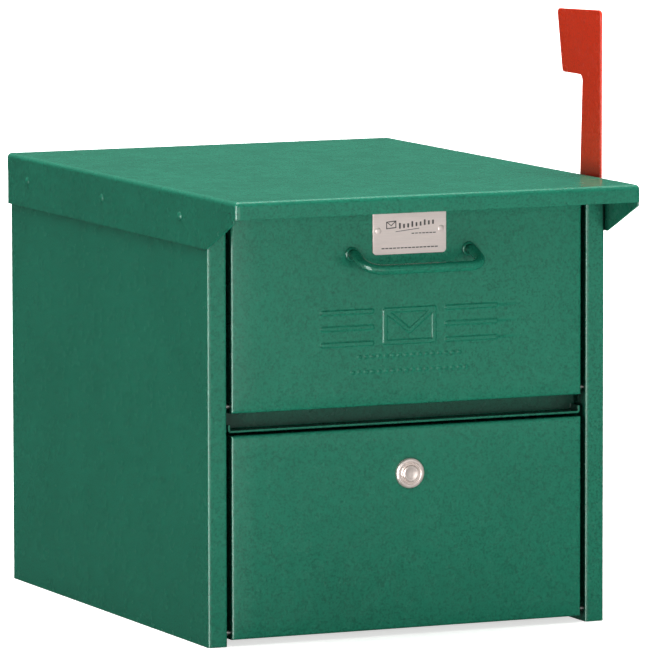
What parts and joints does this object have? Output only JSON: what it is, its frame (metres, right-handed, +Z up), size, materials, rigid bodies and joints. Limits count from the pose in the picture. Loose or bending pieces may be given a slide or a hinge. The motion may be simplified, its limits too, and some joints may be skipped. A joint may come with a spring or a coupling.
{
  "type": "lockable mail drop box",
  "caption": "Lockable sheet-steel mail drop box with a pull-down deposit door, a key-locked collection door, an overhanging hood and a signal flag.",
  "frame": {"origin": "centre of the floor's four bolt holes, on the underside of the floor, which is also the face that the box rests on", "axes": "+Z up; +Y from the doors towards the back; +X to the right when facing the doors"},
  "size_m": [0.3609, 0.4827, 0.4904],
  "materials": {
    "green_powder_coat": "semi-gloss powder coat with fine orange peel on steel sheet",
    "red_powder_coat": "satin powder coat on steel sheet",
    "satin_aluminium": "satin brushed",
    "stainless_steel": "turned",
    "zinc_plate": "bright zinc plate",
    "chrome_plate": "satin nickel-chrome plate",
    "black_nylon": "moulded",
    "ferrite_magnet": "ground"
  },
  "bodies": {
    "body": {"left_side_panel": "green_powder_coat", "right_side_panel": "green_powder_coat", "back_panel": "green_powder_coat", "floor_panel": "green_powder_coat", "back_rivets": "green_powder_coat", "hood": "green_powder_coat", "hood_rivets": "green_powder_coat", "header_rail": "green_powder_coat", "divider_rail": "green_powder_coat", "rail_rivets": "zinc_plate", "divider_shelf": "green_powder_coat", "security_baffle": "green_powder_coat", "baffle_rivets": "zinc_plate", "catch_housing": "black_nylon", "catch_magnet": "ferrite_magnet", "catch_screws": "zinc_plate", "upper_hinge_pins": "stainless_steel", "upper_pin_clips": "zinc_plate", "lower_hinge_pins": "stainless_steel", "lower_pin_clips": "zinc_plate", "flag_bushing": "black_nylon", "flag_bolt": "stainless_steel", "flag_spring_washer": "zinc_plate", "flag_washer": "black_nylon", "flag_nut": "zinc_plate"},
    "upper_door": {"upper_door": "green_powder_coat", "pull_handle": "green_powder_coat", "pull_screws": "zinc_plate", "name_plate": "satin_aluminium", "name_plate_rivets": "satin_aluminium", "strike_plate": "zinc_plate"},
    "lower_door": {"lower_door": "green_powder_coat", "lock_body": "chrome_plate", "lock_nut": "zinc_plate"},
    "lock_plug": {"lock_plug": "chrome_plate", "lock_cam": "zinc_plate", "lock_cam_screw": "zinc_plate"},
    "flag": {"flag": "red_powder_coat"}
  },
  "joints": [
    {"name": "upper_door_hinge", "type": "hinge", "parent": "body", "child": "upper_door", "pos_m": [0, -0.20185, 0.1895], "axis": [1, 0, 0], "range_deg": [0, 90]},
    {"name": "lower_door_hinge", "type": "hinge", "parent": "body", "child": "lower_door", "pos_m": [0, -0.20185, 0.0101], "axis": [1, 0, 0], "range_deg": [0, 90]},
    {"name": "lock_turn", "type": "hinge", "parent": "lower_door", "child": "lock_plug", "pos_m": [0.00075, -0.20885, 0.1293], "axis": [0, 1, 0], "range_deg": [0, 90]},
    {"name": "flag_pivot", "type": "hinge", "parent": "body", "child": "flag", "pos_m": [0.1784, -0.17055, 0.3002], "axis": [-1, 0, 0], "range_deg": [0, 90]}
  ]
}
